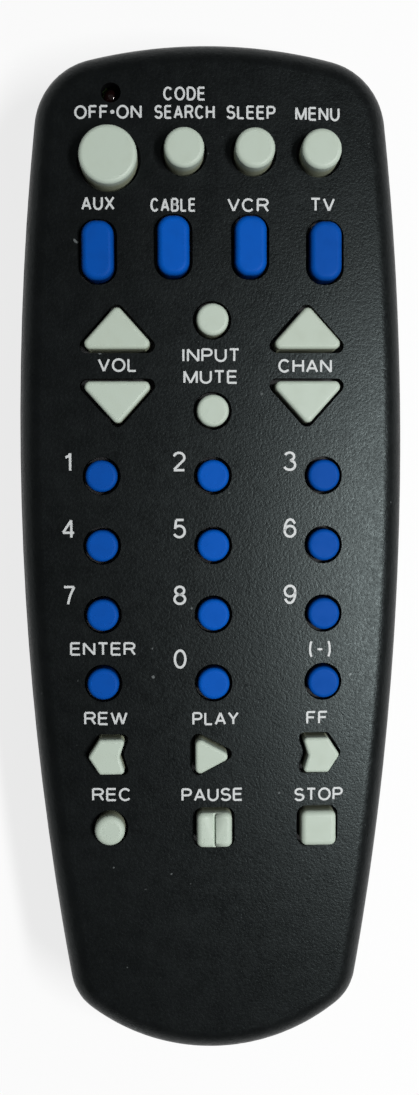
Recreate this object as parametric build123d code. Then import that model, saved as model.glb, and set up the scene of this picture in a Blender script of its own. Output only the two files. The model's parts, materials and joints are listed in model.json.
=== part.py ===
from build123d import *
import math
import os

# A universal remote control lying on its back, face up, keys towards +Z.
# The infrared end points to +Y. The origin is the middle of the back face. Lengths are millimetres.

# Overall body
length = 163.2
width = 62.5
thickness = 23.0
parting_z = 13.0
widest_y = 17.0
front_taper = 3.75
front_bulge = 4.6
front_corner = 11.8
rear_taper = 7.8
rear_bulge = 9.6
rear_corner = 9.0

# Moulded shells
wall = 2.0
upper_draft = 8.0
lower_draft = 5.0
shoulder_round = 4.0
back_round = 4.0
crown_side_radius = 320.0
crown_long_radius = 1800.0
crown_peak_y = -6.0
crown_sections = 5
lip_height = 1.2
lip_thickness = 0.9
seam_gap = 0.3
seam_depth = 0.35

# Clearances
fit = 0.1
loose = 0.3
touch = 0.05
over = 1.0

# Board, rubber mat and key travel
board_bottom = 14.4
board_thickness = 1.6
board_half_width = 22.0
board_inset = 3.5
board_rear_y = -50.0
mat_thickness = 1.2
mat_front_y = 70.0
key_travel = 1.0
pill_thickness = 0.4
pill_radius = 1.3
flange_thickness = 0.6
flange_lip = 0.5
web_roof = 0.6
web_wall = 0.75
web_draft = 10.0
key_gap = 0.5

# Key places, counted from a datum that stays at the same distance behind the front end
front_to_datum = 82.1
column_x = 17.46
row_pitch = 10.93
first_row_y = 13.67
power_x = 16.0
power_y = 62.8
search_x = 4.3
sleep_x = 6.6
menu_x = 16.9
function_y = 63.8
source_outer_x = 17.76
source_outer_y = 48.6
source_inner_x = 6.0
source_inner_y = 49.3
rocker_x = 14.85
rocker_up_y = 36.8
rocker_down_y = 24.95
input_y = 37.9
mute_y = 23.8
deck_x = 16.95
deck_upper_y = -30.6
deck_lower_x = 16.6
deck_lower_y = -42.5

# Key shapes, with the rounding of their top edges
power_diameter = 9.0
function_diameter = 6.2
small_diameter = 5.0
record_diameter = 4.8
source_width = 5.0
source_length = 9.2
source_corner = 2.2
rocker_width = 12.4
rocker_height = 6.9
rocker_corner = 0.9
arrow_width = 5.9
arrow_height = 5.6
arrow_tip = 1.8
arrow_notch = 0.9
arrow_corner = 0.6
play_width = 6.0
play_height = 6.4
play_corner = 0.8
block_size = 5.6
block_corner = 1.0
pause_groove = 0.5
tall_rise = 3.7
source_rise = 1.8
rocker_rise = 1.6
digit_rise = 1.0
deck_rise = 2.0
tall_edge = 0.7
source_edge = 0.9
rocker_edge = 0.6
round_edge = 0.6
arrow_edge = 0.5
block_edge = 0.85

# Infrared window and lamps
window_width = 16.0
window_height = 7.0
window_z = 13.4
window_flange = 0.8
window_flange_depth = 1.0
emitter_diameter = 5.0
emitter_length = 8.2
emitter_rim = 0.4
emitter_rim_length = 1.0
emitter_setback = 11.5
emitter_notch = 3.2
lamp_x = 15.6
lamp_y = 73.2
lamp_diameter = 2.9
lamp_rim = 0.3
lamp_rim_height = 1.0
lamp_height = 3.1
lamp_hole = 3.1
leg_width = 0.5
leg_pitch = 2.54
leg_run = 3.0

# Case screws, board screws and posts
case_screw_x = 22.0
case_screw_front_y = 56.0
case_screw_rear_y = -13.6
case_shank = 2.4
case_head = 4.2
case_head_height = 1.8
case_screw_length = 10.5
head_chamfer = 0.4
boss_radius = 2.3
pillar_radius = 3.2
well_radius = 2.3
well_depth = 7.0
board_screw_front_x = 8.0
board_screw_front_y = 57.3
board_screw_rear_x = 8.6
board_screw_rear_y = 19.0
board_shank = 1.7
board_head = 3.2
board_head_height = 1.2
board_screw_length = 5.0
stud_radius = 1.6
hold_rear_x = 8.6
hold_upper_y = -13.6
hold_lower_y = -36.6
hold_radius = 1.2
post_x = 18.0
post_radius = 1.6
post_front_y = 66.0
post_middle_y = 34.0
post_rear_y = 2.0

# Battery bay, cells and contacts
cell_diameter = 10.5
cell_length = 44.5
nub_diameter = 3.8
nub_length = 0.8
cell_edge = 0.5
cell_gap = 0.7
cell_clearance = 0.25
cell_bottom = 2.2
contact_room = 2.75
bay_setback = 10.0
bay_wall = 1.3
bay_roof = 1.2
plate_thickness = 0.4
plate_width = 9.0
plate_height = 8.8
plate_bottom = 3.4
tab_width = 2.4
dimple_radius = 2.6
spring_wire = 0.5
spring_wide_radius = 3.9
spring_narrow_radius = 2.3
spring_turns = 3

# Battery door
door_half_width = 14.0
door_cover = 2.6
door_recess = 0.15
door_top = 1.8
tongue_reach = 1.0
tongue_bottom = 1.0
rail_height = 1.3
rail_width = 2.6
flap_half_width = 12.0
flap_height = 8.5
flap_thickness = 1.7
grip_width = 14.0
grip_count = 5
grip_pitch = 1.8
grip_slot = 0.7
grip_depth = 0.5
grip_setback = 8.0

# Parts on the board
chip_width = 7.5
chip_length = 17.9
chip_height = 2.3
chip_legs = 14
chip_leg_pitch = 1.27
chip_leg_width = 0.42
chip_leg_reach = 1.4
chip_leg_thickness = 0.3
chip_y = 38.0
capacitor_diameter = 5.0
capacitor_length = 8.0
capacitor_stand = 0.8
capacitor_x = -13.0
capacitor_y = 27.0
resonator_width = 7.0
resonator_depth = 3.0
resonator_height = 6.0
resonator_corner = 1.0
resonator_x = 14.0
resonator_y = 42.0
transistor_radius = 2.3
transistor_flat = 1.2
transistor_height = 4.6
transistor_stand = 2.0
transistor_x = 10.0
transistor_y = 64.0
resistor_length = 3.2
resistor_width = 1.6
resistor_height = 0.6
resistor_pitch = 4.0
resistor_count = 5
resistor_y = 14.0

# Levels worked out from the sizes above
front_y = length / 2
rear_y = -length / 2
datum_y = front_y - front_to_datum
waist_y = datum_y + widest_y
crest_y = datum_y + crown_peak_y
emitter_rear_y = front_y - emitter_setback
board_top = board_bottom + board_thickness
mat_top = board_top + mat_thickness
pill_bottom = board_top + key_travel + touch
flange_bottom = pill_bottom + pill_thickness
flange_top = flange_bottom + flange_thickness
web_ceiling = flange_top + touch
web_top = web_ceiling + web_roof
web_clear = flange_lip + loose
web_reach = web_clear + web_wall
cell_radius = cell_diameter / 2
cell_x = cell_radius + cell_gap / 2
cell_z = cell_bottom + cell_radius
bay_half = cell_x + cell_radius + cell_clearance
bay_ceiling = cell_z + cell_radius + cell_clearance
bay_top = bay_ceiling + bay_roof
bay_rear_y = rear_y + bay_setback
bay_front_y = bay_rear_y + cell_length + 2 * contact_room
door_front_y = bay_front_y + door_cover
cell_front_y = bay_front_y - contact_room
cell_rear_y = bay_rear_y + contact_room
bay_floor = door_top + door_recess
plate_top = plate_bottom + plate_height


def box(x_low, x_high, y_low, y_high, z_low, z_high):
    """A straight block between two corners."""
    size = (x_high - x_low, y_high - y_low, z_high - z_low)
    low = (Align.MIN, Align.MIN, Align.MIN)
    return Pos(x_low, y_low, z_low) * Box(*size, align=low)


def rod(radius, x, y, z_low, z_high):
    """An upright round bar between two heights."""
    low = (Align.CENTER, Align.CENTER, Align.MIN)
    return Pos(x, y, z_low) * Cylinder(radius, z_high - z_low, align=low)


def mirrored(x, y):
    """The same place on both sides."""
    return [(-x, y), (x, y)]


def solids(shape):
    """One solid, or a group of separate solids."""
    found = shape.solids()
    return found[0] if len(found) == 1 else Compound(found)


# The plan outline: long side arcs, a shallow arc at the front and a round one at the lower end

def corner_point(side_reach, side_rise, end_radius, end_y, half):
    """Where the circle of a long side meets the circle of an end."""
    side_radius = (side_reach**2 + side_rise**2) / (2 * side_reach)
    side_x = width / 2 - side_radius
    side_radius += half - width / 2
    gap = math.dist((side_x, waist_y), (0, end_y))
    along = (side_radius**2 - end_radius**2 + gap**2) / (2 * gap)
    across = math.sqrt(side_radius**2 - along**2)
    ux, uy = -side_x / gap, (end_y - waist_y) / gap
    way = math.copysign(1, side_rise)
    return side_x + along * ux - way * across * uy, waist_y + along * uy + way * across * ux


def outline(inset=0.0):
    half = width / 2 - inset
    front_x = width / 2 - front_taper
    front_radius = (front_x**2 + front_bulge**2) / (2 * front_bulge)
    rear_x = width / 2 - rear_taper
    rear_radius = (rear_x**2 + rear_bulge**2) / (2 * rear_bulge)
    front_rise = front_y - front_bulge - waist_y
    rear_rise = rear_y + rear_bulge - waist_y
    front = corner_point(front_taper, front_rise, front_radius - inset, front_y - front_radius, half)
    rear = corner_point(rear_taper, rear_rise, rear_radius - inset, rear_y + rear_radius, half)
    with BuildLine() as line:
        TangentArc((half, waist_y), front, tangent=(0, 1))
        ThreePointArc(front, (0, front_y - inset), (-front[0], front[1]))
        TangentArc((-half, waist_y), (-front[0], front[1]), tangent=(0, 1))
        TangentArc((-half, waist_y), (-rear[0], rear[1]), tangent=(0, -1))
        ThreePointArc((-rear[0], rear[1]), (0, rear_y + inset), rear)
        TangentArc((half, waist_y), rear, tangent=(0, -1))
    plan = Sketch() + make_face(line.edges())
    for corner, radius in ((front, front_corner), (rear, rear_corner)):
        found = [v for v in plan.vertices() if abs(v.Y - corner[1]) < touch]
        plan = fillet(found, radius - inset)
    return plan


# The crown: arcs across the body, whose tops lie on a long arc that runs along it

def face_z(x, y, drop=0.0):
    """The height of the crowned face, or of a surface that lies a drop below it."""
    across = crown_side_radius - math.sqrt(crown_side_radius**2 - x**2)
    along = crown_long_radius - math.sqrt(crown_long_radius**2 - (y - crest_y) ** 2)
    return thickness - across - along - drop


def crown(drop):
    half = width / 2 + over
    reach = length / 2 + over
    sections = []
    for step in range(crown_sections):
        y = reach * (2 * step / (crown_sections - 1) - 1)
        edge, peak = face_z(half, y, drop), face_z(0, y, drop)
        with BuildLine() as line:
            ThreePointArc((-half, edge), (0, peak), (half, edge))
            Polyline((half, edge), (half, 0), (-half, 0), (-half, edge))
        sections.append(Pos(0, y, 0) * (Plane.XZ * make_face(line.edges())))
    return loft(sections)


def drafted(skin, height, draft, way):
    """The outline at the parting plane, drawn in as it goes up or down."""
    drawn = outline(skin + height * math.tan(math.radians(draft)))
    return loft([Pos(0, 0, parting_z) * outline(skin), Pos(0, 0, parting_z + way * height) * drawn], ruled=True)


def upper_form(skin):
    """The upper body, or its inside when a skin is taken off."""
    form = drafted(skin, thickness - parting_z + over, upper_draft, 1) & crown(skin)
    face = max((f for f in form.faces() if f.center().Z > thickness - shoulder_round), key=lambda f: f.area)
    return fillet(face.edges(), shoulder_round - skin)


def lower_form(skin):
    """The lower body, or its inside when a skin is taken off."""
    form = drafted(skin, parting_z - skin, lower_draft, -1)
    return fillet(form.faces().sort_by(Axis.Z)[0].edges(), back_round - skin)


def ring(outer_inset, inner_inset, z_low, z_high):
    """A band that follows the plan outline."""
    band = outline(outer_inset) - outline(inner_inset)
    return extrude(Pos(0, 0, z_low) * band, amount=z_high - z_low)


# Key plans, each centred on its own place: a plan takes how far it is grown on all sides

def round_plan(diameter):
    return lambda grow: Sketch() + Circle(diameter / 2 + grow)


def slab_plan(wide, tall, corner):
    return lambda grow: Sketch() + RectangleRounded(wide + 2 * grow, tall + 2 * grow, corner + grow)


def grown_corners(points, grow):
    """The corners of an outline given anticlockwise, with every side moved outwards."""
    moved = []
    for place, (x, y) in enumerate(points):
        before = points[place - 1]
        after = points[(place + 1) % len(points)]
        length_in = math.dist(before, (x, y))
        length_out = math.dist((x, y), after)
        in_x, in_y = (x - before[0]) / length_in, (y - before[1]) / length_in
        out_x, out_y = (after[0] - x) / length_out, (after[1] - y) / length_out
        turn = in_x * out_y - in_y * out_x
        slide = grow * (1 - in_x * out_x - in_y * out_y) / turn
        moved.append((x + grow * in_y + slide * in_x, y - grow * in_x + slide * in_y))
    return moved


def cornered_plan(points, corner):
    def plan(grow):
        shape = Sketch() + make_face(Polyline(*grown_corners(points, grow), close=True))
        return fillet(shape.vertices(), corner + grow / 2)
    return plan


def rocker_plan(way):
    half = rocker_width / 2
    middle = way * rocker_height / 2
    points = [(-way * half, -middle), (way * half, -middle), (0, middle)]
    return cornered_plan(points, rocker_corner)


def arrow_plan(way):
    tip = arrow_width / 2
    shoulder = tip - arrow_tip
    half = arrow_height / 2
    points = [(tip, 0), (shoulder, half), (-tip, half)]
    points += [(arrow_notch - tip, 0), (-tip, -half), (shoulder, -half)]
    return cornered_plan([(way * x, way * y) for x, y in points], arrow_corner)


def play_plan():
    back = -play_width / 2
    half = play_height / 2
    return cornered_plan([(back, half), (back, -half), (-back, 0)], play_corner)


def source_keys():
    """The four oval keys: node name, plan, place, height above the face, rounding of the top edge."""
    plan = slab_plan(source_width, source_length, source_corner)
    places = mirrored(source_outer_x, source_outer_y) + mirrored(source_inner_x, source_inner_y)
    places.sort()
    return [(f"key_source_{n}", plan, x, y, source_rise, source_edge) for n, (x, y) in enumerate(places, 1)]


def digit_keys():
    """Four rows of three round keys."""
    keys = []
    plan = round_plan(small_diameter)
    names = ["1", "2", "3", "4", "5", "6", "7", "8", "9", "enter", "0", "dash"]
    for place, name in enumerate(names):
        row, column = divmod(place, 3)
        x = (column - 1) * column_x
        keys.append((f"key_{name}", plan, x, first_row_y - row * row_pitch, digit_rise, round_edge))
    return keys


def key_table():
    """Every key, with its place counted from the front end."""
    power = round_plan(power_diameter)
    function = round_plan(function_diameter)
    small = round_plan(small_diameter)
    block = slab_plan(block_size, block_size, block_corner)
    keys = [
        ("key_off_on", power, -power_x, power_y, tall_rise, tall_edge),
        ("key_code_search", function, -search_x, function_y, tall_rise, tall_edge),
        ("key_sleep", function, sleep_x, function_y, tall_rise, tall_edge),
        ("key_menu", function, menu_x, function_y, tall_rise, tall_edge),
        ("key_volume_up", rocker_plan(1), -rocker_x, rocker_up_y, rocker_rise, rocker_edge),
        ("key_volume_down", rocker_plan(-1), -rocker_x, rocker_down_y, rocker_rise, rocker_edge),
        ("key_channel_up", rocker_plan(1), rocker_x, rocker_up_y, rocker_rise, rocker_edge),
        ("key_channel_down", rocker_plan(-1), rocker_x, rocker_down_y, rocker_rise, rocker_edge),
        ("key_input", small, 0, input_y, rocker_rise, round_edge),
        ("key_mute", small, 0, mute_y, rocker_rise, round_edge),
        ("key_rewind", arrow_plan(-1), -deck_x, deck_upper_y, deck_rise, arrow_edge),
        ("key_play", play_plan(), 0, deck_upper_y, deck_rise, arrow_edge),
        ("key_forward", arrow_plan(1), deck_x, deck_upper_y, deck_rise, arrow_edge),
        ("key_record", round_plan(record_diameter), -deck_lower_x, deck_lower_y, deck_rise, block_edge),
        ("key_pause", block, 0, deck_lower_y, deck_rise, block_edge),
        ("key_stop", block, deck_lower_x, deck_lower_y, deck_rise, block_edge),
    ]
    keys += source_keys() + digit_keys()
    return [(name, plan, x, datum_y + y, rise, edge) for name, plan, x, y, rise, edge in keys]


def upright(plan, x, y, z_low, z_high, grow=0.0):
    """A key's plan, grown on all sides and stood between two heights."""
    return extrude(Pos(x, y, z_low) * plan(grow), amount=z_high - z_low)


def leaning(plan, x, y, z_low, z_high, grow, draft):
    """The same with sides that lean in as they rise."""
    drawn = grow - (z_high - z_low) * math.tan(math.radians(draft))
    return loft([Pos(x, y, z_low) * plan(grow), Pos(x, y, z_high) * plan(drawn)], ruled=True)


# A key: column with a soft top edge, a flange that the web holds down, a conductive pill below

def key(name, plan, x, y, rise, edge):
    top = face_z(x, y) + rise
    column = upright(plan, x, y, flange_bottom, top)
    column = fillet(column.faces().sort_by(Axis.Z)[-1].edges(), edge)
    if name == "key_pause":
        half = pause_groove / 2
        column -= box(x - half, x + half, y - block_size, y + block_size, top - pause_groove, top + over)
    body = column + upright(plan, x, y, flange_bottom, flange_top, grow=flange_lip)
    pill = rod(pill_radius, x, y, pill_bottom, flange_bottom)
    return Compound([body.solid(), pill.solid()])


# The rubber mat: a sheet with a hollow web round each key

def keypad_mat(keys):
    plan = outline(board_inset) & Rectangle(2 * board_half_width, length)
    sheet = extrude(Pos(0, 0, board_top) * plan, amount=mat_thickness)
    sheet &= box(-width, width, datum_y + board_rear_y, datum_y + mat_front_y, board_top, mat_top)
    for x, y in case_screw_places():
        sheet -= rod(boss_radius + loose, x, y, board_top - over, mat_top + over)
    for x, y in board_screw_places():
        sheet -= rod(stud_radius + loose, x, y, board_top - over, mat_top + over)
    webs = [leaning(k[1], k[2], k[3], mat_top, web_top, web_reach, web_draft) for k in keys]
    hollows = [upright(k[1], k[2], k[3], board_top - over, web_ceiling, grow=web_clear) for k in keys]
    bores = [upright(k[1], k[2], k[3], web_ceiling - over, web_top + over, grow=fit) for k in keys]
    return solids(sheet + webs - hollows - bores)


# Fastener and post places, counted from the front end like the keys

def case_screw_places():
    front = mirrored(case_screw_x, datum_y + case_screw_front_y)
    return front + mirrored(case_screw_x, datum_y + case_screw_rear_y)


def board_screw_places():
    front = mirrored(board_screw_front_x, datum_y + board_screw_front_y)
    return front + mirrored(board_screw_rear_x, datum_y + board_screw_rear_y)


def hold_places():
    return mirrored(hold_rear_x, datum_y + hold_upper_y) + mirrored(hold_rear_x, datum_y + hold_lower_y)


def post_places():
    return [place for y in (post_front_y, post_middle_y, post_rear_y) for place in mirrored(post_x, datum_y + y)]


# Window opening and the rebate behind it, cut from both shells

def window_plan(outer_inset, inner_inset, half):
    band = outline(outer_inset) - outline(inner_inset)
    return band & (Pos(0, front_y) * Rectangle(2 * half, length / 2))


def window_cut():
    half = window_width / 2 + fit
    low = window_z - window_height / 2 - fit
    high = window_z + window_height / 2 + fit
    hole = box(-half, half, front_y - front_bulge - wall, front_y + over, low, high)
    plan = window_plan(wall, wall + window_flange_depth + fit, half + window_flange)
    rim = extrude(Pos(0, 0, low - window_flange) * plan, amount=high - low + 2 * window_flange)
    return hole + rim


def ir_window():
    """The lens face lies flush in the drafted wall, and its rim sits in the rebate behind it."""
    half = window_width / 2
    low = window_z - window_height / 2
    high = low + window_height
    room = box(-half, half, front_y - front_bulge - wall, front_y + over, low, high)
    face = (upper_form(0) + lower_form(0)) & room
    face -= extrude(Pos(0, 0, low - over) * outline(wall + fit), amount=window_height + 2 * over)
    rim_plan = window_plan(wall + fit, wall + window_flange_depth, half + window_flange)
    rim = extrude(Pos(0, 0, low - window_flange) * rim_plan, amount=window_height + 2 * window_flange)
    return solids(face + rim)


# Upper shell

def top_case(keys):
    bosses = [rod(boss_radius, x, y, parting_z - over, thickness) for x, y in case_screw_places()]
    bosses += [rod(stud_radius, x, y, board_top, thickness) for x, y in board_screw_places()]
    bosses += [rod(hold_radius, x, y, mat_top, thickness) for x, y in hold_places()]
    hollow = upper_form(wall) - bosses
    shell = upper_form(0) - hollow
    rebate = lip_thickness + fit
    shell -= ring(wall - rebate, wall + touch, parting_z - over, parting_z + lip_height + fit)
    shell -= ring(-over, seam_depth, parting_z - over, parting_z + seam_gap)
    cuts = [upright(k[1], k[2], k[3], web_top, thickness + over, grow=key_gap) for k in keys]
    high = well_depth + case_screw_length + loose
    cuts += [rod(case_shank / 2 + touch, x, y, parting_z - over, high) for x, y in case_screw_places()]
    high = board_bottom + board_screw_length + loose
    cuts += [rod(board_shank / 2 + touch, x, y, board_top - over, high) for x, y in board_screw_places()]
    cuts.append(rod(lamp_hole / 2, -lamp_x, datum_y + lamp_y, web_top - over, thickness + over))
    return solids(shell - cuts - window_cut())


# Lower shell with the battery bay

def battery_bay():
    half = bay_half + bay_wall
    outer = box(-half, half, bay_rear_y - bay_wall, bay_front_y + bay_wall, bay_floor, bay_top)
    inner = box(-bay_half, bay_half, bay_rear_y, bay_front_y, bay_floor - over, bay_ceiling)
    bay = outer - inner
    low, high = bay_ceiling - over, bay_top + over
    for x in (-cell_x, cell_x):
        slot = tab_width / 2 + fit
        bay -= box(x - slot, x + slot, bay_front_y - plate_thickness - fit, bay_front_y, low, high)
    return bay


def rails():
    inner = lower_form(wall / 2)
    both = []
    for side in (-1, 1):
        x = side * (door_half_width + tongue_reach - rail_width / 2 + fit + over)
        half = rail_width / 2
        rail = box(x - half, x + half, rear_y, door_front_y, bay_floor, bay_floor + rail_height)
        both.append(rail & inner)
    return both


def door_space(gap):
    """The room of the door: plate, side tongues and end flap, grown by a gap."""
    half = door_half_width + gap
    front = door_front_y + gap
    reach = half + tongue_reach
    flap = flap_half_width + gap
    plate = box(-half, half, rear_y - over, front, -over, door_top + gap)
    tongues = box(-reach, reach, rear_y - over, front, tongue_bottom - gap, door_top + gap)
    end = box(-flap, flap, rear_y - over, bay_rear_y - bay_wall - over, -over, flap_height + gap)
    return plate + tongues + end


def bottom_case():
    shell = lower_form(0) - lower_form(wall)
    shell += ring(wall - lip_thickness, wall, parting_z - wall, parting_z + lip_height)
    inside = lower_form(wall / 2)
    for x, y in case_screw_places():
        shell += rod(pillar_radius, x, y, over, parting_z - touch) & inside
    for x, y in post_places():
        shell += rod(post_radius, x, y, over, board_bottom)
    shell -= door_space(door_recess)
    shell += battery_bay()
    shell += rails()
    for x, y in case_screw_places():
        shell -= rod(well_radius, x, y, -over, well_depth)
        shell -= rod(case_shank / 2 + fit, x, y, -over, parting_z + over)
    return solids(shell - window_cut())


# Battery door: plate, side tongues and end flap, cut from the outer form of the lower shell

def battery_door():
    outer = lower_form(door_recess)
    hollow = lower_form(door_recess + flap_thickness)
    door = (outer & door_space(0)) - (hollow & box(-width, width, rear_y, width, door_top, parting_z + over))
    for n in range(grip_count):
        y = door_front_y - grip_setback - n * grip_pitch
        half = grip_slot / 2
        groove = box(-grip_width / 2, grip_width / 2, y - half, y + half, -over, door_recess + grip_depth)
        door -= groove
    return solids(door)


# Board with its notches and screw holes

def circuit_board():
    plan = outline(board_inset) & Rectangle(2 * board_half_width, length)
    board = extrude(Pos(0, 0, board_bottom) * plan, amount=board_thickness)
    board &= box(-width, width, datum_y + board_rear_y, length, board_bottom, board_top)
    low, high = board_bottom - over, board_top + over
    for x, y in case_screw_places():
        board -= rod(boss_radius + loose, x, y, low, high)
    for x, y in board_screw_places():
        board -= rod(board_shank / 2 + fit, x, y, low, high)
    board -= box(-emitter_notch, emitter_notch, emitter_rear_y - emitter_rim_length, length, low, high)
    return solids(board)


def screws(places, shank, head, head_height, seat_z, screw_length):
    """Pan-head screws that point up, seated under a shoulder."""
    group = []
    for x, y in places:
        cap = rod(head / 2, x, y, seat_z - head_height, seat_z)
        cap = chamfer(cap.faces().sort_by(Axis.Z)[0].edges(), head_chamfer)
        group.append((cap + rod(shank / 2, x, y, seat_z, seat_z + screw_length)).solid())
    return Compound(group)


def case_screws():
    return screws(case_screw_places(), case_shank, case_head, case_head_height, well_depth, case_screw_length)


def board_screws():
    places = board_screw_places()
    return screws(places, board_shank, board_head, board_head_height, board_bottom, board_screw_length)


# Infrared diode: dome towards the window, two legs bent up to the board

def ir_emitter():
    radius = emitter_diameter / 2
    low = (Align.CENTER, Align.CENTER, Align.MIN)
    straight = emitter_length - radius
    lens = Cylinder(radius, straight, align=low) + Pos(0, 0, straight) * Sphere(radius)
    lens += Cylinder(radius + emitter_rim, emitter_rim_length, align=low)
    emitter = Pos(0, emitter_rear_y, window_z) * (Rot(-90, 0, 0) * lens)
    half = leg_width / 2
    for x in (-leg_pitch / 2, leg_pitch / 2):
        back = emitter_rear_y - leg_run
        emitter += box(x - half, x + half, back, emitter_rear_y, window_z - half, window_z + half)
        emitter += box(x - half, x + half, back, back + leg_width, window_z - half, board_bottom)
    return solids(emitter)


def indicator_led():
    radius = lamp_diameter / 2
    low = (Align.CENTER, Align.CENTER, Align.MIN)
    straight = lamp_height - radius
    lens = Cylinder(radius, straight, align=low) + Pos(0, 0, straight) * Sphere(radius)
    lens += Cylinder(radius + lamp_rim, lamp_rim_height, align=low)
    lens &= Cylinder(lamp_diameter, lamp_height, align=low)
    return solids(Pos(-lamp_x, datum_y + lamp_y, board_top) * lens)


# AAA cells, the left one with its nub to the front

def battery(side):
    nub = cell_length - nub_length
    low = (Align.CENTER, Align.CENTER, Align.MIN)
    can = Cylinder(cell_radius, nub, align=low)
    can = fillet(can.edges().filter_by(GeomType.CIRCLE), cell_edge)
    can += Pos(0, 0, nub) * Cylinder(nub_diameter / 2, nub_length, align=low)
    if side < 0:
        return solids(Pos(-cell_x, cell_rear_y, cell_z) * (Rot(-90, 0, 0) * can))
    return solids(Pos(cell_x, cell_front_y, cell_z) * (Rot(90, 0, 0) * can))


# Battery contacts

def contact_blade(x, y, tab):
    half = plate_width / 2
    blade = box(x - half, x + half, y, y + plate_thickness, plate_bottom, plate_top)
    if tab:
        half = tab_width / 2
        blade += box(x - half, x + half, y, y + plate_thickness, plate_bottom, board_bottom)
    return blade


def dimple(x, y, way):
    reach = contact_room - plate_thickness - touch
    low = (Align.CENTER, Align.CENTER, Align.MIN)
    cone = Cone(dimple_radius, dimple_radius / 2, reach, align=low)
    return Pos(x, y, cell_z) * (Rot(-90 * way, 0, 0) * cone)


def coil(x, y, way):
    """A flattened conical spring, wide end on its plate, as one wire along a spiral."""
    reach = contact_room - plate_thickness - touch - spring_wire
    lean = math.degrees(math.atan((spring_wide_radius - spring_narrow_radius) / reach))
    path = Helix(pitch=reach / spring_turns, height=reach, radius=spring_wide_radius, cone_angle=-lean)
    start = Plane(origin=path @ 0, z_dir=path % 0)
    wire = sweep(start * Circle(spring_wire / 2), path=path, is_frenet=True)
    return Pos(x, y + way * spring_wire / 2, cell_z) * (Rot(-90 * way, 0, 0) * wire)


def contact_plate():
    y = bay_front_y - plate_thickness
    return solids(contact_blade(-cell_x, y, True) + dimple(-cell_x, y, -1))


def contact_spring():
    y = bay_front_y - plate_thickness
    return solids(contact_blade(cell_x, y, True) + coil(cell_x, y, -1))


def contact_bridge():
    y = bay_rear_y + plate_thickness
    half = cell_x + plate_width / 2
    blade = box(-half, half, bay_rear_y, y, plate_bottom, plate_top)
    return solids(blade + dimple(cell_x, y, 1) + coil(-cell_x, y, 1))


# Parts that hang under the board

def controller_chip():
    bottom = board_bottom - chip_height - touch
    chip = box(-chip_length / 2, chip_length / 2, chip_y - chip_width / 2, chip_y + chip_width / 2,
               bottom, board_bottom - touch)
    middle = board_bottom - chip_height / 2
    half = chip_leg_width / 2
    for n in range(chip_legs):
        x = (n - (chip_legs - 1) / 2) * chip_leg_pitch
        for side in (-1, 1):
            near = chip_y + side * chip_width / 2
            far = near + side * chip_leg_reach
            y_low, y_high = min(near, far), max(near, far)
            chip += box(x - half, x + half, y_low, y_high, middle, middle + chip_leg_thickness)
            foot = (far - side * chip_leg_thickness, far)
            chip += box(x - half, x + half, min(foot), max(foot), middle, board_bottom)
    return solids(chip)


def capacitor():
    can_top = board_bottom - capacitor_stand
    can = rod(capacitor_diameter / 2, capacitor_x, capacitor_y, can_top - capacitor_length, can_top)
    can = fillet(can.faces().sort_by(Axis.Z)[0].edges(), cell_edge)
    half = leg_width / 2
    for x in (capacitor_x - leg_pitch / 2, capacitor_x + leg_pitch / 2):
        can += box(x - half, x + half, capacitor_y - half, capacitor_y + half, can_top, board_bottom)
    return solids(can)


def resonator():
    half_x, half_y = resonator_width / 2, resonator_depth / 2
    body = box(resonator_x - half_x, resonator_x + half_x, resonator_y - half_y, resonator_y + half_y,
               board_bottom - resonator_height, board_bottom)
    return solids(fillet(body.edges().filter_by(Axis.Z), resonator_corner))


def transistor():
    top = board_bottom - transistor_stand
    body = rod(transistor_radius, transistor_x, transistor_y, top - transistor_height, top)
    flat = transistor_y + transistor_flat
    body -= box(transistor_x - transistor_radius, transistor_x + transistor_radius, flat,
                flat + transistor_radius, top - transistor_height - over, top + over)
    half = leg_width / 2
    for n in (-1, 0, 1):
        x = transistor_x + n * leg_pitch / 2
        body += box(x - half, x + half, transistor_y - half, transistor_y + half, top, board_bottom)
    return solids(body)


def resistors():
    group = []
    half_x, half_y = resistor_width / 2, resistor_length / 2
    y_low, y_high = resistor_y - half_y, resistor_y + half_y
    for n in range(resistor_count):
        x = (n - (resistor_count - 1) / 2) * resistor_pitch
        chip = box(x - half_x, x + half_x, y_low, y_high, board_bottom - resistor_height, board_bottom)
        group.append(chip.solid())
    return Compound(group)


# Every node

def build():
    keys = key_table()
    on_board = Pos(0, datum_y, 0)
    nodes = {
        "top_case": top_case(keys),
        "bottom_case": bottom_case(),
        "battery_door": battery_door(),
        "keypad_mat": keypad_mat(keys),
        "circuit_board": circuit_board(),
        "ir_window": ir_window(),
        "ir_emitter": ir_emitter(),
        "indicator_led": indicator_led(),
        "battery_left": battery(-1),
        "battery_right": battery(1),
        "contact_plate": contact_plate(),
        "contact_spring": contact_spring(),
        "contact_bridge": contact_bridge(),
        "case_screws": case_screws(),
        "board_screws": board_screws(),
        "controller_chip": on_board * controller_chip(),
        "capacitor": on_board * capacitor(),
        "resonator": on_board * resonator(),
        "transistor": on_board * transistor(),
        "resistors": on_board * resistors(),
    }
    for entry in keys:
        nodes[entry[0]] = key(*entry)
    return nodes


os.makedirs("parts", exist_ok=True)
for node, shape in build().items():
    export_step(shape, f"parts/{node}.step")
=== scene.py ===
import math

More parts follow.
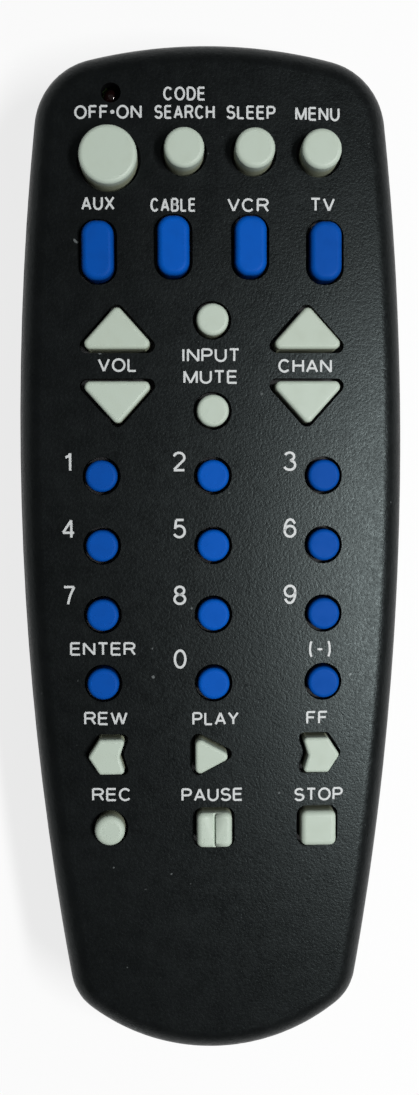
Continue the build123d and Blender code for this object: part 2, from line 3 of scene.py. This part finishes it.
import bpy
from mathutils import Matrix, Vector
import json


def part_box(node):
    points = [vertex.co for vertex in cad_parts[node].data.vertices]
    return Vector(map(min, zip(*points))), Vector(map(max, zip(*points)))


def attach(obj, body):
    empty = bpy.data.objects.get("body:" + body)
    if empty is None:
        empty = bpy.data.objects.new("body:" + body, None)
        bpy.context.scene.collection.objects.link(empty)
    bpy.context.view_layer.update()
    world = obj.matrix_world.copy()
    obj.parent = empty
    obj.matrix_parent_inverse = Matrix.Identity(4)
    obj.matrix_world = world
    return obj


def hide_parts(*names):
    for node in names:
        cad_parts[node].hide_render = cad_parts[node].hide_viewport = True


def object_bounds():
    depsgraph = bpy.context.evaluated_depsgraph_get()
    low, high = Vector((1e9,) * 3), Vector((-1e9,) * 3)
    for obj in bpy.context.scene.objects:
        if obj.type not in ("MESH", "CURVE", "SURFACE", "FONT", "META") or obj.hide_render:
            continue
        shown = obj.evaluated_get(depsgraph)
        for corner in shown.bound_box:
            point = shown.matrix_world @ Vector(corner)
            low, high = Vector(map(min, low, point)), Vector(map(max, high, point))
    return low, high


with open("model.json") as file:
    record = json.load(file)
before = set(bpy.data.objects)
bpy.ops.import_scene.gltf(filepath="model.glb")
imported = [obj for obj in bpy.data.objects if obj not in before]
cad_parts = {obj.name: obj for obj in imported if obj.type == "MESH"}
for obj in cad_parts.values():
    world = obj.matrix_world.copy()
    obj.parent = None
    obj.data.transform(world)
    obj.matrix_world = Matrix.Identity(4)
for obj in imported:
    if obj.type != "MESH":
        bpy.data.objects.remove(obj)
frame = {"nodes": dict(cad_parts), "record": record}
cad_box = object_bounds()
MM = 0.001

# Lengths are named in millimetres, and MM makes them the scene's metres. The camera and the face's crown are
# placed from a datum at a fixed distance behind the front end.
FRONT_TO_DATUM = 82.1
DATUM_Y = cad_box[1].y / MM - FRONT_TO_DATUM


# Camera. It looks down at the key face from a little above the middle, tilted by a few degrees, as the
# photograph was taken. The focal length is that of the photograph's frame, whose long side is upright.
PHOTO_HEIGHT_PX = 1095
FOCAL_PX = 1180.9
SENSOR = 36.0
CAMERA_AT = Vector((-6.86, DATUM_Y + 13.11, 208.6)) * MM
CAMERA_YAW = math.radians(1.94)
CAMERA_PITCH = math.radians(-3.31)
CAMERA_ROLL = math.radians(-0.22)

lens = bpy.data.cameras.new("camera")
lens.sensor_width = SENSOR
lens.lens = SENSOR * FOCAL_PX / PHOTO_HEIGHT_PX
lens.clip_start = 1 * MM
camera = bpy.data.objects.new("camera", lens)
bpy.context.scene.collection.objects.link(camera)
bpy.context.scene.camera = camera
forward = Vector((math.sin(CAMERA_YAW), math.sin(CAMERA_PITCH), -1)).normalized()
level = forward.cross(Vector((0, 1, 0))).normalized()
upward = level.cross(forward)
right = level * math.cos(CAMERA_ROLL) + upward * math.sin(CAMERA_ROLL)
top = upward * math.cos(CAMERA_ROLL) - level * math.sin(CAMERA_ROLL)
turn = Matrix((right, top, -forward)).transposed().to_4x4()
camera.matrix_world = Matrix.Translation(CAMERA_AT) @ turn


# Light: a soft box high on the right, whose sheen lies along the right side of the face, and a dim
# surround. The camera sees the surround as white. Reflections show its sides white and its ceiling dark.
LAMP_AT = Vector((228, -40, 494)) * MM
LAMP_WIDTH = 50.0
LAMP_LENGTH = 250.0
LAMP_WATTS = 3.1
SURROUND = 0.13
CEILING = 0.05
BACKDROP_FADES_FROM = 0.05
BACKDROP_FADES_TO = 0.3

light = bpy.data.lights.new("lamp", "AREA")
light.shape = "RECTANGLE"
light.size = LAMP_WIDTH * MM
light.size_y = LAMP_LENGTH * MM
light.energy = LAMP_WATTS
lamp = bpy.data.objects.new("lamp", light)
lamp_x = Vector((0, 1, 0)).cross(LAMP_AT).normalized()
lamp_z = LAMP_AT.normalized()
lamp_y = lamp_z.cross(lamp_x)
lamp.matrix_world = Matrix.Translation(LAMP_AT) @ Matrix((lamp_x, lamp_y, lamp_z)).transposed().to_4x4()
bpy.context.scene.collection.objects.link(lamp)
world = bpy.data.worlds.new("surround")
world.use_nodes = True
bpy.context.scene.world = world
bpy.context.scene.view_settings.view_transform = "Standard"


# Finishes are written as expressions: a Channel stands for one socket, and its sums add Math nodes.
class Channel:
    """The output of a node, ready for sums."""

    def __init__(self, finish, socket):
        self.finish = finish
        self.socket = socket

    def math(self, operation, *others):
        return self.finish.add("ShaderNodeMath", {"operation": operation}, [self, *others])

    def __add__(self, other):
        return self.math("ADD", other)

    def __mul__(self, other):
        return self.math("MULTIPLY", other)

    __radd__ = __add__
    __rmul__ = __mul__


class Finish:
    """A node tree under construction."""

    def __init__(self, tree):
        self.tree = tree
        tree.nodes.clear()

    def add(self, kind, settings, inputs, output=0):
        node = self.tree.nodes.new(kind)
        for name, value in settings.items():
            setattr(node, name, value)
        pairs = inputs.items() if isinstance(inputs, dict) else enumerate(inputs)
        for name, value in pairs:
            self.join(value, node.inputs[name])
        return Channel(self, node.outputs[output]) if node.outputs else None

    def join(self, value, socket):
        if isinstance(value, Channel):
            self.tree.links.new(value.socket, socket)
        elif isinstance(value, (tuple, list)) and socket.type == "RGBA":
            socket.default_value = (*value, 1.0)
        else:
            socket.default_value = value


class Material(Finish):
    """A principled material with object coordinates at hand."""

    def __init__(self, name):
        self.data = bpy.data.materials.new(name)
        self.data.use_nodes = True
        super().__init__(self.data.node_tree)
        self.place = self.add("ShaderNodeTexCoord", {}, {}, "Object")

    def noise(self, per_mm, detail=2.0, roughness=0.5, offset=0.0):
        settings = {"noise_dimensions": "4D"}
        inputs = {"Vector": self.place, "W": offset, "Scale": per_mm / MM}
        inputs.update({"Detail": detail, "Roughness": roughness})
        return self.add("ShaderNodeTexNoise", settings, inputs)

    def span(self, value, low, high, to_low=0.0, to_high=1.0):
        """The value from low to high, mapped to another range and held at its ends."""
        return self.add("ShaderNodeMapRange", {"clamp": True}, [value, low, high, to_low, to_high])

    def vary(self, noise, least, most):
        """A noise, most of which lies from 0.3 to 0.7, spread from least to most."""
        return self.span(noise, 0.3, 0.7, least, most)

    def blend(self, mask, below, above):
        return self.add("ShaderNodeMix", {"data_type": "RGBA"}, {"Factor": mask, 6: below, 7: above}, 2)

    def bump(self, height, depth_mm, strength=1.0):
        inputs = {"Strength": strength, "Distance": depth_mm * MM, "Height": height}
        return self.add("ShaderNodeBump", {}, inputs)

    def finish(self, **sockets):
        """Sets the shader's sockets, whose names are given in lower case with underscores."""
        surface = self.add("ShaderNodeBsdfPrincipled", {}, {})
        shader = surface.socket.node
        for name, value in sockets.items():
            self.join(value, shader.inputs[name.replace("_", " ").title().replace("Ior", "IOR")])
        self.add("ShaderNodeOutputMaterial", {}, {"Surface": surface})
        return self.data


surround = Finish(world.node_tree)
seen = surround.add("ShaderNodeLightPath", {}, {}, "Is Camera Ray")
mirrored = surround.add("ShaderNodeLightPath", {}, {}, "Is Glossy Ray")
through = surround.add("ShaderNodeLightPath", {}, {}, "Is Transmission Ray")
direction = surround.add("ShaderNodeTexCoord", {}, {}, "Generated")
climb = surround.add("ShaderNodeSeparateXYZ", {}, [direction], "Z")
fade = [climb, BACKDROP_FADES_FROM, BACKDROP_FADES_TO, 1.0, CEILING]
backdrop = surround.add("ShaderNodeMapRange", {}, fade)
white = seen.math("MAXIMUM", through).math("MAXIMUM", mirrored * backdrop)
strength = white * (1.0 - SURROUND) + SURROUND
glow = surround.add("ShaderNodeBackground", {}, {"Color": (1.0, 1.0, 1.0), "Strength": strength})
surround.add("ShaderNodeOutputWorld", {}, {"Surface": glow})


# Floor: a plain pale sheet that the remote lies on. To the camera it is mostly an even white, in which a
# faint shadow stays round the case.
FLOOR_SIZE = 1600.0
FLOOR_PALE = (0.85, 0.85, 0.85)
FLOOR_EVEN = 0.8

bpy.ops.object.select_all(action="DESELECT")
bpy.ops.mesh.primitive_plane_add(size=FLOOR_SIZE * MM, location=(0, 0, 0))
floor = bpy.context.object
floor.name = "floor"
paint = Material("floor_paint")
lit = paint.add("ShaderNodeBsdfDiffuse", {}, {"Color": FLOOR_PALE})
plain = paint.add("ShaderNodeEmission", {}, {"Color": (1.0, 1.0, 1.0), "Strength": 1.0})
seen = paint.add("ShaderNodeLightPath", {}, {}, "Is Camera Ray")
shown = paint.add("ShaderNodeMixShader", {}, [seen * FLOOR_EVEN, lit, plain])
paint.add("ShaderNodeOutputMaterial", {}, {"Surface": shown})
floor.data.materials.append(paint.data)


# Case: an upper shell, a lower shell and a battery door, moulded in black plastic that takes a fine, even
# grain from the mould. Dust clings to it in places. The shells are screwed together from below, and the door
# slides off the lower end.
SHELL_BODIES = {"top_case": "case", "bottom_case": "case", "battery_door": "door"}
JOIN_DISTANCE = 0.0005 * MM
MOULD_ANGLE = 28
CASE_BLACK = (0.0018, 0.0020, 0.0022)
CASE_WORN = (0.0040, 0.0045, 0.0048)
DUST = (0.10, 0.11, 0.11)
CASE_SPECULAR = 0.20
CASE_SHEEN = (0.84, 1.0, 1.0)
GRAIN_PER_MM = 2.3
FINE_GRAIN_PER_MM = 5.0
GRAIN_DEPTH = 0.06
CASE_SMOOTHEST = 0.28
CASE_ROUGHEST = 0.42
MOTTLE_PER_MM = 0.35
PATCHES_PER_MM = 0.05
SPECKS_PER_MM = 1.1
DUSTY_PLACES_PER_MM = 0.12
CROWN_SIDE_RADIUS = 320.0
CROWN_LONG_RADIUS = 1800.0
CROWN_PEAK_Y = DATUM_Y - 6.0
CROWN_TOP = 23.0
ON_FACE = 0.02
NEARLY_SQUARE = 0.8
BAY_EASE = Vector((0.3, 0.05, 0)) * MM
BAY_MOUTH = 2.15


def only(piece):
    bpy.ops.object.select_all(action="DESELECT")
    piece.select_set(True)
    bpy.context.view_layer.objects.active = piece


def moulded(node, name, smooth_degrees=MOULD_ANGLE):
    """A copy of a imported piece, without its tags. Its triangles are joined, and it is shaded smooth up to
    an angle, so that mould radii read as round and edges stay crisp."""
    source = frame["nodes"][node]
    piece = source.copy()
    piece.data = source.data.copy()
    piece.name = name
    piece.data.name = name
    piece.parent = None
    for key in list(piece.keys()):
        del piece[key]
    bpy.context.scene.collection.objects.link(piece)
    only(piece)
    bpy.ops.object.mode_set(mode="EDIT")
    bpy.ops.mesh.select_all(action="SELECT")
    bpy.ops.mesh.remove_doubles(threshold=JOIN_DISTANCE)
    bpy.ops.object.mode_set(mode="OBJECT")
    bpy.ops.object.shade_smooth_by_angle(angle=math.radians(smooth_degrees))
    return piece


def dress(piece, body, material):
    piece.data.materials.clear()
    piece.data.materials.append(material)
    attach(piece, body)


def case_plastic():
    made = Material("case_plastic")
    grain = made.noise(GRAIN_PER_MM, detail=2.0, roughness=0.6)
    fine = made.noise(FINE_GRAIN_PER_MM, detail=1.0, offset=2.0)
    mottle = made.noise(MOTTLE_PER_MM, detail=4.0, offset=5.0)
    patches = made.noise(PATCHES_PER_MM, detail=3.0, offset=9.0)
    speck = made.noise(SPECKS_PER_MM, detail=0.0, offset=12.0)
    dusty = made.noise(DUSTY_PLACES_PER_MM, detail=1.0, offset=15.0)
    dust = made.span(speck, 0.81, 0.84) * made.span(dusty, 0.52, 0.58)
    shade = made.span(mottle, 0.35, 0.7) * 0.6 + made.span(patches, 0.4, 0.65) * 0.4
    colour = made.blend(dust, made.blend(shade, CASE_BLACK, CASE_WORN), DUST)
    rough = made.vary(grain, CASE_SMOOTHEST, CASE_ROUGHEST) + made.vary(mottle, -0.02, 0.03)
    bump = made.bump(grain * 0.7 + fine * 0.3, GRAIN_DEPTH)
    return made.finish(
        base_color=colour,
        roughness=rough,
        specular_ior_level=CASE_SPECULAR,
        specular_tint=CASE_SHEEN,
        normal=bump,
    )


def face_z(x, y):
    """The height of the crowned face in millimetres."""
    across = CROWN_SIDE_RADIUS - math.sqrt(CROWN_SIDE_RADIUS**2 - x**2)
    along = CROWN_LONG_RADIUS - math.sqrt(CROWN_LONG_RADIUS**2 - (y - CROWN_PEAK_Y) ** 2)
    return CROWN_TOP - across - along


def face_normal(x, y):
    """The direction square to the crowned face."""
    across = x / math.sqrt(CROWN_SIDE_RADIUS**2 - x**2)
    along = (y - CROWN_PEAK_Y) / math.sqrt(CROWN_LONG_RADIUS**2 - (y - CROWN_PEAK_Y) ** 2)
    return Vector((across, along, 1)).normalized()


def on_crown(at):
    """The direction square to the crowned face at a place on it, and None off it."""
    return face_normal(at.x, at.y) if abs(at.z - face_z(at.x, at.y)) < ON_FACE else None


def on_underside(lowest):
    """As on_crown, for a flat underside at a height."""
    return lambda at: Vector((0, 0, -1)) if at.z < lowest + ON_FACE else None


def shade_broad_face(shell, square_at):
    """Shades a broad face by its own shape, because thin triangles fan out there from the holes."""
    mesh = shell.data
    normals = [corner.vector.copy() for corner in mesh.corner_normals]
    for face in mesh.polygons:
        for loop in face.loop_indices:
            square = square_at(mesh.vertices[mesh.loops[loop].vertex_index].co / MM)
            if square and face.normal.dot(square) > NEARLY_SQUARE:
                normals[loop] = square
    mesh.normals_split_custom_set(normals)


def open_bay(shell):
    """Opens the battery bay from its mouth down to the door, so that the cells show with the door off."""
    low = Vector((-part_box("battery_right")[1].x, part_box("contact_bridge")[0].y, 0)) - BAY_EASE
    high = Vector((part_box("battery_right")[1].x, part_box("contact_plate")[1].y, BAY_MOUTH * MM)) + BAY_EASE
    bpy.ops.object.select_all(action="DESELECT")
    bpy.ops.mesh.primitive_cube_add(size=1, location=(low + high) / 2, scale=high - low)
    block = bpy.context.object
    only(shell)
    bpy.ops.object.modifier_add(type="BOOLEAN")
    shell.modifiers[-1].object = block
    bpy.ops.object.modifier_apply(modifier=shell.modifiers[-1].name)
    bpy.data.objects.remove(block)
    bpy.ops.object.shade_smooth_by_angle(angle=math.radians(MOULD_ANGLE))


case_black = case_plastic()
for node, body in SHELL_BODIES.items():
    shell = moulded(node, "skin_" + node)
    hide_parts(node)
    dress(shell, body, case_black)
    if node == "bottom_case":
        open_bay(shell)
    shade_broad_face(shell, on_crown if node == "top_case" else on_underside(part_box(node)[0].z / MM))


# Keys: 32 caps of silicone rubber, moulded in blue and in pale grey. They stand up through the case from
# one mat and are pressed one by one. Their sides are darkened low down, beside the face, as painted shade.
# The second colour of each key is painted shade. It darkens the sides low down, between the two heights
# below. A random film also mottles the keys a little towards it.
KEY_BLUE = (0.001, 0.078, 0.400)
KEY_BLUE_SHADED = (0.001, 0.022, 0.120)
KEY_PALE = (0.415, 0.485, 0.415)
KEY_PALE_SHADED = (0.260, 0.285, 0.200)
SHADE_FULL_AT = 22.2
SHADE_GONE_AT = 23.9
KEY_FILM_PER_MM = 0.5
KEY_SKIN_PER_MM = 6.0
KEY_SKIN_DEPTH = 0.01


def flat_tops(cap):
    """Keeps broad faces flat beside rounded edges."""
    only(cap)
    bpy.ops.object.modifier_add(type="WEIGHTED_NORMAL")
    cap.modifiers[-1].keep_sharp = True


def rubber(name, unshaded, shaded, rough, specular):
    made = Material(name)
    film = made.noise(KEY_FILM_PER_MM, detail=4.0)
    skin = made.noise(KEY_SKIN_PER_MM, detail=2.0, offset=4.0)
    height = made.add("ShaderNodeSeparateXYZ", {}, [made.place], "Z")
    # Painted shade: the sides are darker low down, beside the face. The film adds a little random mottle on
    # top.
    painted_shade = made.span(height, SHADE_FULL_AT * MM, SHADE_GONE_AT * MM, 1.0, 0.0)
    colour = made.blend(painted_shade + made.span(film, 0.45, 0.8, 0.0, 0.12), unshaded, shaded)
    shine = made.vary(film, rough - 0.05, rough + 0.07)
    bump = made.bump(skin, KEY_SKIN_DEPTH, 0.35)
    return made.finish(base_color=colour, roughness=shine, specular_ior_level=specular, normal=bump)


rubbers = {
    "key_blue": rubber("blue_rubber", KEY_BLUE, KEY_BLUE_SHADED, rough=0.50, specular=0.05),
    "key_pale": rubber("pale_rubber", KEY_PALE, KEY_PALE_SHADED, rough=0.50, specular=0.40),
}
slots = {part["node"]: part["material_slot"] for part in frame["record"]["subparts"]}
for node in sorted(frame["nodes"]):
    if node.startswith("key_"):
        cap = moulded(node, "cap_" + node.removeprefix("key_"))
        flat_tops(cap)
        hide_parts(node)
        dress(cap, node, rubbers[slots[node]])


# Marks: plain numerals and words, printed in pale ink on the face, whose crown they follow. Each sign is
# drawn in strokes of one width, as printed capitals are, and each stroke is a thin closed strip.
INK = (0.52, 0.54, 0.54)
INK_WORN = (0.36, 0.38, 0.38)
INK_THICK = 0.02
INK_ROUGH = 0.55
INK_WEAR_PER_MM = 3.0
ARC_STEP = 15
SIGN_GAP_SHARE = 0.12
WORD_HIGH = 2.15
WORD_STROKE = 0.33
NUMERAL_HIGH = 3.1
NUMERAL_STROKE = 0.38


def printing_ink():
    made = Material("printing_ink")
    wear = made.noise(INK_WEAR_PER_MM, detail=3.0)
    colour = made.blend(made.span(wear, 0.55, 0.8), INK, INK_WORN)
    return made.finish(base_color=colour, roughness=INK_ROUGH)


def arc(x, y, wide, high, start, end):
    """Points along part of an oval, given by its middle, its half sizes and two angles in degrees."""
    steps = round(abs(end - start) / ARC_STEP)
    turns = [math.radians(start + (end - start) * n / steps) for n in range(steps + 1)]
    return [(x + wide * math.cos(turn), y + high * math.sin(turn)) for turn in turns]


STEM = [(0, 0), (0, 1)]
FAR_STEM = [(1, 0), (1, 1)]
TOP_BAR = [(0, 1), (1, 1)]
FOOT_BAR = [(0, 0), (1, 0)]
FALL = [(0, 1), (1, 0)]
ROUND = arc(0.5, 0.5, 0.5, 0.5, 0, 360)
# Each sign: its width as a share of its height, and its strokes, as points on a square of side 1.
SIGNS = {
    "A": (0.78, [[(0, 0), (0.5, 1)], [(0.5, 1), (1, 0)], [(0.19, 0.3), (0.81, 0.3)]]),
    "B": (0.70, [STEM, [(0, 1), (0.6, 1), *arc(0.6, 0.77, 0.34, 0.23, 75, -75), (0.6, 0.54), (0, 0.54)],
                 [(0, 0.54), (0.62, 0.54), *arc(0.62, 0.27, 0.38, 0.27, 75, -75), (0.62, 0), (0, 0)]]),
    "C": (0.78, [arc(0.5, 0.5, 0.5, 0.5, 40, 320)]),
    "D": (0.74, [STEM, [(0, 1), (0.45, 1), *arc(0.45, 0.5, 0.55, 0.5, 75, -75), (0.45, 0), (0, 0)]]),
    "E": (0.66, [STEM, TOP_BAR, FOOT_BAR, [(0, 0.53), (0.93, 0.53)]]),
    "F": (0.62, [STEM, TOP_BAR, [(0, 0.53), (0.86, 0.53)]]),
    "H": (0.74, [STEM, FAR_STEM, [(0, 0.53), (1, 0.53)]]),
    "I": (0.16, [STEM]),
    "L": (0.60, [STEM, FOOT_BAR]),
    "M": (0.88, [STEM, FAR_STEM, [(0, 1), (0.5, 0)], [(0.5, 0), (1, 1)]]),
    "N": (0.76, [STEM, FAR_STEM, FALL]),
    "O": (0.86, [ROUND]),
    "P": (0.70, [STEM, [(0, 1), (0.6, 1), *arc(0.6, 0.73, 0.4, 0.27, 75, -75), (0.6, 0.46), (0, 0.46)]]),
    "R": (0.74, [STEM, [(0, 1), (0.6, 1), *arc(0.6, 0.75, 0.38, 0.25, 75, -75), (0.6, 0.5), (0, 0.5)],
                 [(0.62, 0.5), (1, 0)]]),
    "S": (0.70, [arc(0.5, 0.75, 0.45, 0.25, 25, 265) + arc(0.5, 0.26, 0.5, 0.26, 80, -160)]),
    "T": (0.68, [TOP_BAR, [(0.5, 0), (0.5, 1)]]),
    "U": (0.74, [[(0, 1), (0, 0.4), *arc(0.5, 0.38, 0.5, 0.38, 190, 350), (1, 0.4), (1, 1)]]),
    "V": (0.76, [[(0, 1), (0.5, 0)], [(0.5, 0), (1, 1)]]),
    "W": (1.06, [[(0, 1), (0.26, 0)], [(0.26, 0), (0.5, 1)], [(0.5, 1), (0.74, 0)], [(0.74, 0), (1, 1)]]),
    "X": (0.76, [FALL, [(0, 0), (1, 1)]]),
    "Y": (0.76, [[(0, 1), (0.5, 0.45)], [(1, 1), (0.5, 0.45)], [(0.5, 0.45), (0.5, 0)]]),
    "•": (0.30, [arc(0.5, 0.5, 0.45, 0.08, 0, 360)]),
    "(": (0.32, [arc(1, 0.45, 1, 0.82, 125, 235)]),
    ")": (0.32, [arc(0, 0.45, 1, 0.82, 55, -55)]),
    "-": (0.40, [[(0, 0.42), (1, 0.42)]]),
    "0": (0.66, [ROUND]),
    "1": (0.36, [FAR_STEM, [(1, 0.97), (0.7, 0.83), (0, 0.76)]]),
    "2": (0.66, [arc(0.5, 0.72, 0.5, 0.28, 165, -30) + [(0.04, 0.04)], FOOT_BAR]),
    "3": (0.66, [arc(0.47, 0.77, 0.43, 0.23, 160, -85), arc(0.47, 0.27, 0.53, 0.27, 85, -160)]),
    "4": (0.68, [[(0.76, 0), (0.76, 1)], [(0.76, 1), (0, 0.28)], [(0, 0.28), (1, 0.28)]]),
    "5": (0.66, [[(0.9, 1), (0.2, 1)], [(0.2, 1), (0.09, 0.48)], arc(0.48, 0.33, 0.52, 0.33, 140, -155)]),
    "6": (0.66, [arc(0.5, 0.31, 0.5, 0.31, 0, 360), arc(0.53, 0.42, 0.53, 0.58, 185, 35)]),
    "7": (0.64, [TOP_BAR, [(1, 1), (0.6, 0.5), (0.38, 0)]]),
    "8": (0.66, [arc(0.5, 0.77, 0.42, 0.23, 0, 360), arc(0.5, 0.27, 0.5, 0.27, 0, 360)]),
    "9": (0.66, [arc(0.5, 0.69, 0.5, 0.31, 0, 360), arc(0.47, 0.58, 0.53, 0.58, 5, -145)]),
}


def strip(points, stroke):
    """The corners of a strip of constant width, in pairs along its middle line."""
    corners = []
    closed = (points[0] - points[-1]).length * MM < JOIN_DISTANCE
    first, last = (points[-2], points[1]) if closed else (points[0], points[-1])
    for before, point, after in zip([first, *points], points, [*points[1:], last]):
        along = ((point - before).normalized() + (after - point).normalized()).normalized()
        run = (after - point) if after != point else (point - before)
        across = Vector((-along.y, along.x)) * stroke / 2 / along.dot(run.normalized())
        corners += [point + across, point - across]
    return corners


def mark(name, words, x, y, wide, high, stroke):
    """Words centred at a place on the face. With no width given, it follows from their height."""
    total = sum(SIGNS[sign][0] for sign in words) + SIGN_GAP_SHARE * (len(words) - 1)
    scale = wide / total if wide else high
    left = x - total * scale / 2 + stroke / 2
    foot = y - high / 2 + stroke / 2
    corners, faces = [], []
    for sign in words:
        share, strokes = SIGNS[sign]
        room = Vector((share * scale - stroke, high - stroke))
        for line in strokes:
            points = [Vector((left + across * room.x, foot + up * room.y)) for across, up in line]
            first = len(corners)
            corners += strip(points, stroke)
            faces += [(n, n + 1, n + 3, n + 2) for n in range(first, len(corners) - 2, 2)]
        left += (share + SIGN_GAP_SHARE) * scale
    mesh = bpy.data.meshes.new(name)
    mesh.from_pydata([Vector((at.x, at.y, face_z(at.x, at.y))) * MM for at in corners], [], faces)
    piece = bpy.data.objects.new(name, mesh)
    bpy.context.scene.collection.objects.link(piece)
    only(piece)
    bpy.ops.object.modifier_add(type="SOLIDIFY")
    piece.modifiers[-1].thickness = INK_THICK * MM
    piece.modifiers[-1].offset = 1
    bpy.ops.object.modifier_apply(modifier=piece.modifiers[-1].name)
    dress(piece, "case", ink)


# Each word: its piece's name, what it says, its key, how far it stands to the right and to the front of
# the middle of that key, and its width.
WORDS = [
    ("mark_off_on", "OFF•ON", "key_off_on", -0.05, 7.4, 10.5),
    ("mark_code", "CODE", "key_code_search", 0.15, 9.2, 6.6),
    ("mark_search", "SEARCH", "key_code_search", 0.15, 6.35, 9.4),
    ("mark_sleep", "SLEEP", "key_sleep", -0.4, 6.35, 7.7),
    ("mark_menu", "MENU", "key_menu", -0.25, 6.3, 7.0),
    ("mark_aux", "AUX", "key_source_1", 0.05, 7.5, 5.2),
    ("mark_cable", "CABLE", "key_source_2", 0, 6.5, 7.1),
    ("mark_vcr", "VCR", "key_source_3", -0.3, 6.5, 6.5),
    ("mark_tv", "TV", "key_source_4", -0.35, 7.4, 3.9),
    ("mark_volume", "VOL", "key_volume_up", 0, -5.65, 6.1),
    ("mark_input", "INPUT", "key_input", -0.2, -5.4, 9.0),
    ("mark_mute", "MUTE", "key_mute", -0.3, 5.3, 8.5),
    ("mark_channel", "CHAN", "key_channel_up", -0.25, -5.8, 8.5),
    ("mark_enter", "ENTER", "key_enter", -0.05, 5.5, 10.4),
    ("mark_dash", "(-)", "key_dash", -0.5, 5.3, 3.5),
    ("mark_rewind", "REW", "key_rewind", -0.15, 5.85, 6.9),
    ("mark_play", "PLAY", "key_play", 0.6, 5.75, 7.4),
    ("mark_forward", "FF", "key_forward", -0.45, 5.65, 3.5),
    ("mark_record", "REC", "key_record", 0.3, 5.45, 6.3),
    ("mark_pause", "PAUSE", "key_pause", -0.3, 5.35, 9.8),
    ("mark_stop", "STOP", "key_stop", 0.2, 5.1, 7.9),
]
# How far the numerals stand to the left of their keys, and to the front of them, row by row.
NUMERAL_LEFT = 5.3
NUMERAL_ROWS = {"123": 2.25, "456": 2.65, "789": 3.05, "0": 3.85}

ink = printing_ink()
for name, words, key, right_of, in_front, wide in WORDS:
    middle = sum(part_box(key), Vector()) / 2 / MM
    mark(name, words, middle.x + right_of, middle.y + in_front, wide, WORD_HIGH, WORD_STROKE)
for row, in_front in NUMERAL_ROWS.items():
    for numeral in row:
        middle = sum(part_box("key_" + numeral), Vector()) / 2 / MM
        x, y = middle.x - NUMERAL_LEFT, middle.y + in_front
        mark("mark_" + numeral, numeral, x, y, None, NUMERAL_HIGH, NUMERAL_STROKE)


# Infrared window and lamp: a flush lens of dark plastic in the front wall, polished and almost black, and
# a small lamp of tinted resin in its hole above the first key. The lamp is nearly black partly from its tint
# and partly as painted shade of the deep hole. Both are held by the shells.
WINDOW_DARK = (0.010, 0.002, 0.003)
# The lamp's colour is its tinted resin, darkened further as painted shade of its deep hole.
LAMP_TINT_AND_SHADE = (0.006, 0.002, 0.002)
WINDOW_ROUGH = 0.06
LAMP_ROUGH = 0.05
RESIN_FILM_PER_MM = 0.8
DOME_ANGLE = 40


def resin(name, colour, rough):
    made = Material(name)
    film = made.noise(RESIN_FILM_PER_MM, detail=3.0)
    return made.finish(base_color=colour, roughness=made.vary(film, rough, rough + 0.08))


window = moulded("ir_window", "window_lens")
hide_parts("ir_window")
dress(window, "case", resin("window_plastic", WINDOW_DARK, WINDOW_ROUGH))
dome = moulded("indicator_led", "lamp_dome", DOME_ANGLE)
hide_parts("indicator_led")
dress(dome, "case", resin("lamp_resin", LAMP_TINT_AND_SHADE, LAMP_ROUGH))


# Inner pieces: the rubber mat, the board and what is soldered to it, the cells, their contacts and the
# screws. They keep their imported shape, and each takes the finish of what it is made of. A finish gives the
# two colours that it varies between, its least roughness, and 1 for a metal.
INNER_FINISHES = {
    "mat_rubber": ((0.030, 0.031, 0.033), (0.045, 0.046, 0.048), 0.50, 0.0),
    "board_laminate": ((0.060, 0.110, 0.035), (0.080, 0.140, 0.045), 0.35, 0.0),
    "cell_wrap": ((0.020, 0.021, 0.024), (0.030, 0.031, 0.035), 0.28, 0.0),
    "contact_steel": ((0.52, 0.51, 0.48), (0.62, 0.61, 0.58), 0.22, 1.0),
    "screw_steel": ((0.38, 0.38, 0.39), (0.50, 0.50, 0.51), 0.30, 1.0),
    "chip_resin": ((0.012, 0.012, 0.013), (0.020, 0.020, 0.022), 0.50, 0.0),
    "capacitor_sleeve": ((0.010, 0.016, 0.070), (0.014, 0.022, 0.090), 0.30, 0.0),
    "resonator_resin": ((0.45, 0.16, 0.02), (0.55, 0.20, 0.03), 0.30, 0.0),
    "resistor_ceramic": ((0.02, 0.02, 0.022), (0.035, 0.035, 0.038), 0.40, 0.0),
}
EMITTER_BLUE = (0.06, 0.07, 0.16)
EMITTER_ROUGH = 0.05
INNER_FILM_PER_MM = 1.5
INNER_FILM_DEPTH = 0.01


def inner_finish(name, low, high, rough, metal):
    made = Material(name)
    film = made.noise(INNER_FILM_PER_MM, detail=3.0)
    colour = made.blend(made.span(film, 0.35, 0.7), low, high)
    shine = made.vary(film, rough, rough + 0.12)
    bump = made.bump(film, INNER_FILM_DEPTH, 0.3)
    return made.finish(base_color=colour, roughness=shine, metallic=metal, normal=bump)


inner = {slot: inner_finish(slot, *recipe) for slot, recipe in INNER_FINISHES.items()}
inner["emitter_resin"] = resin("emitter_resin", EMITTER_BLUE, EMITTER_ROUGH)
for node, piece in frame["nodes"].items():
    if slots[node] in inner:
        piece.data.materials.clear()
        piece.data.materials.append(inner[slots[node]])
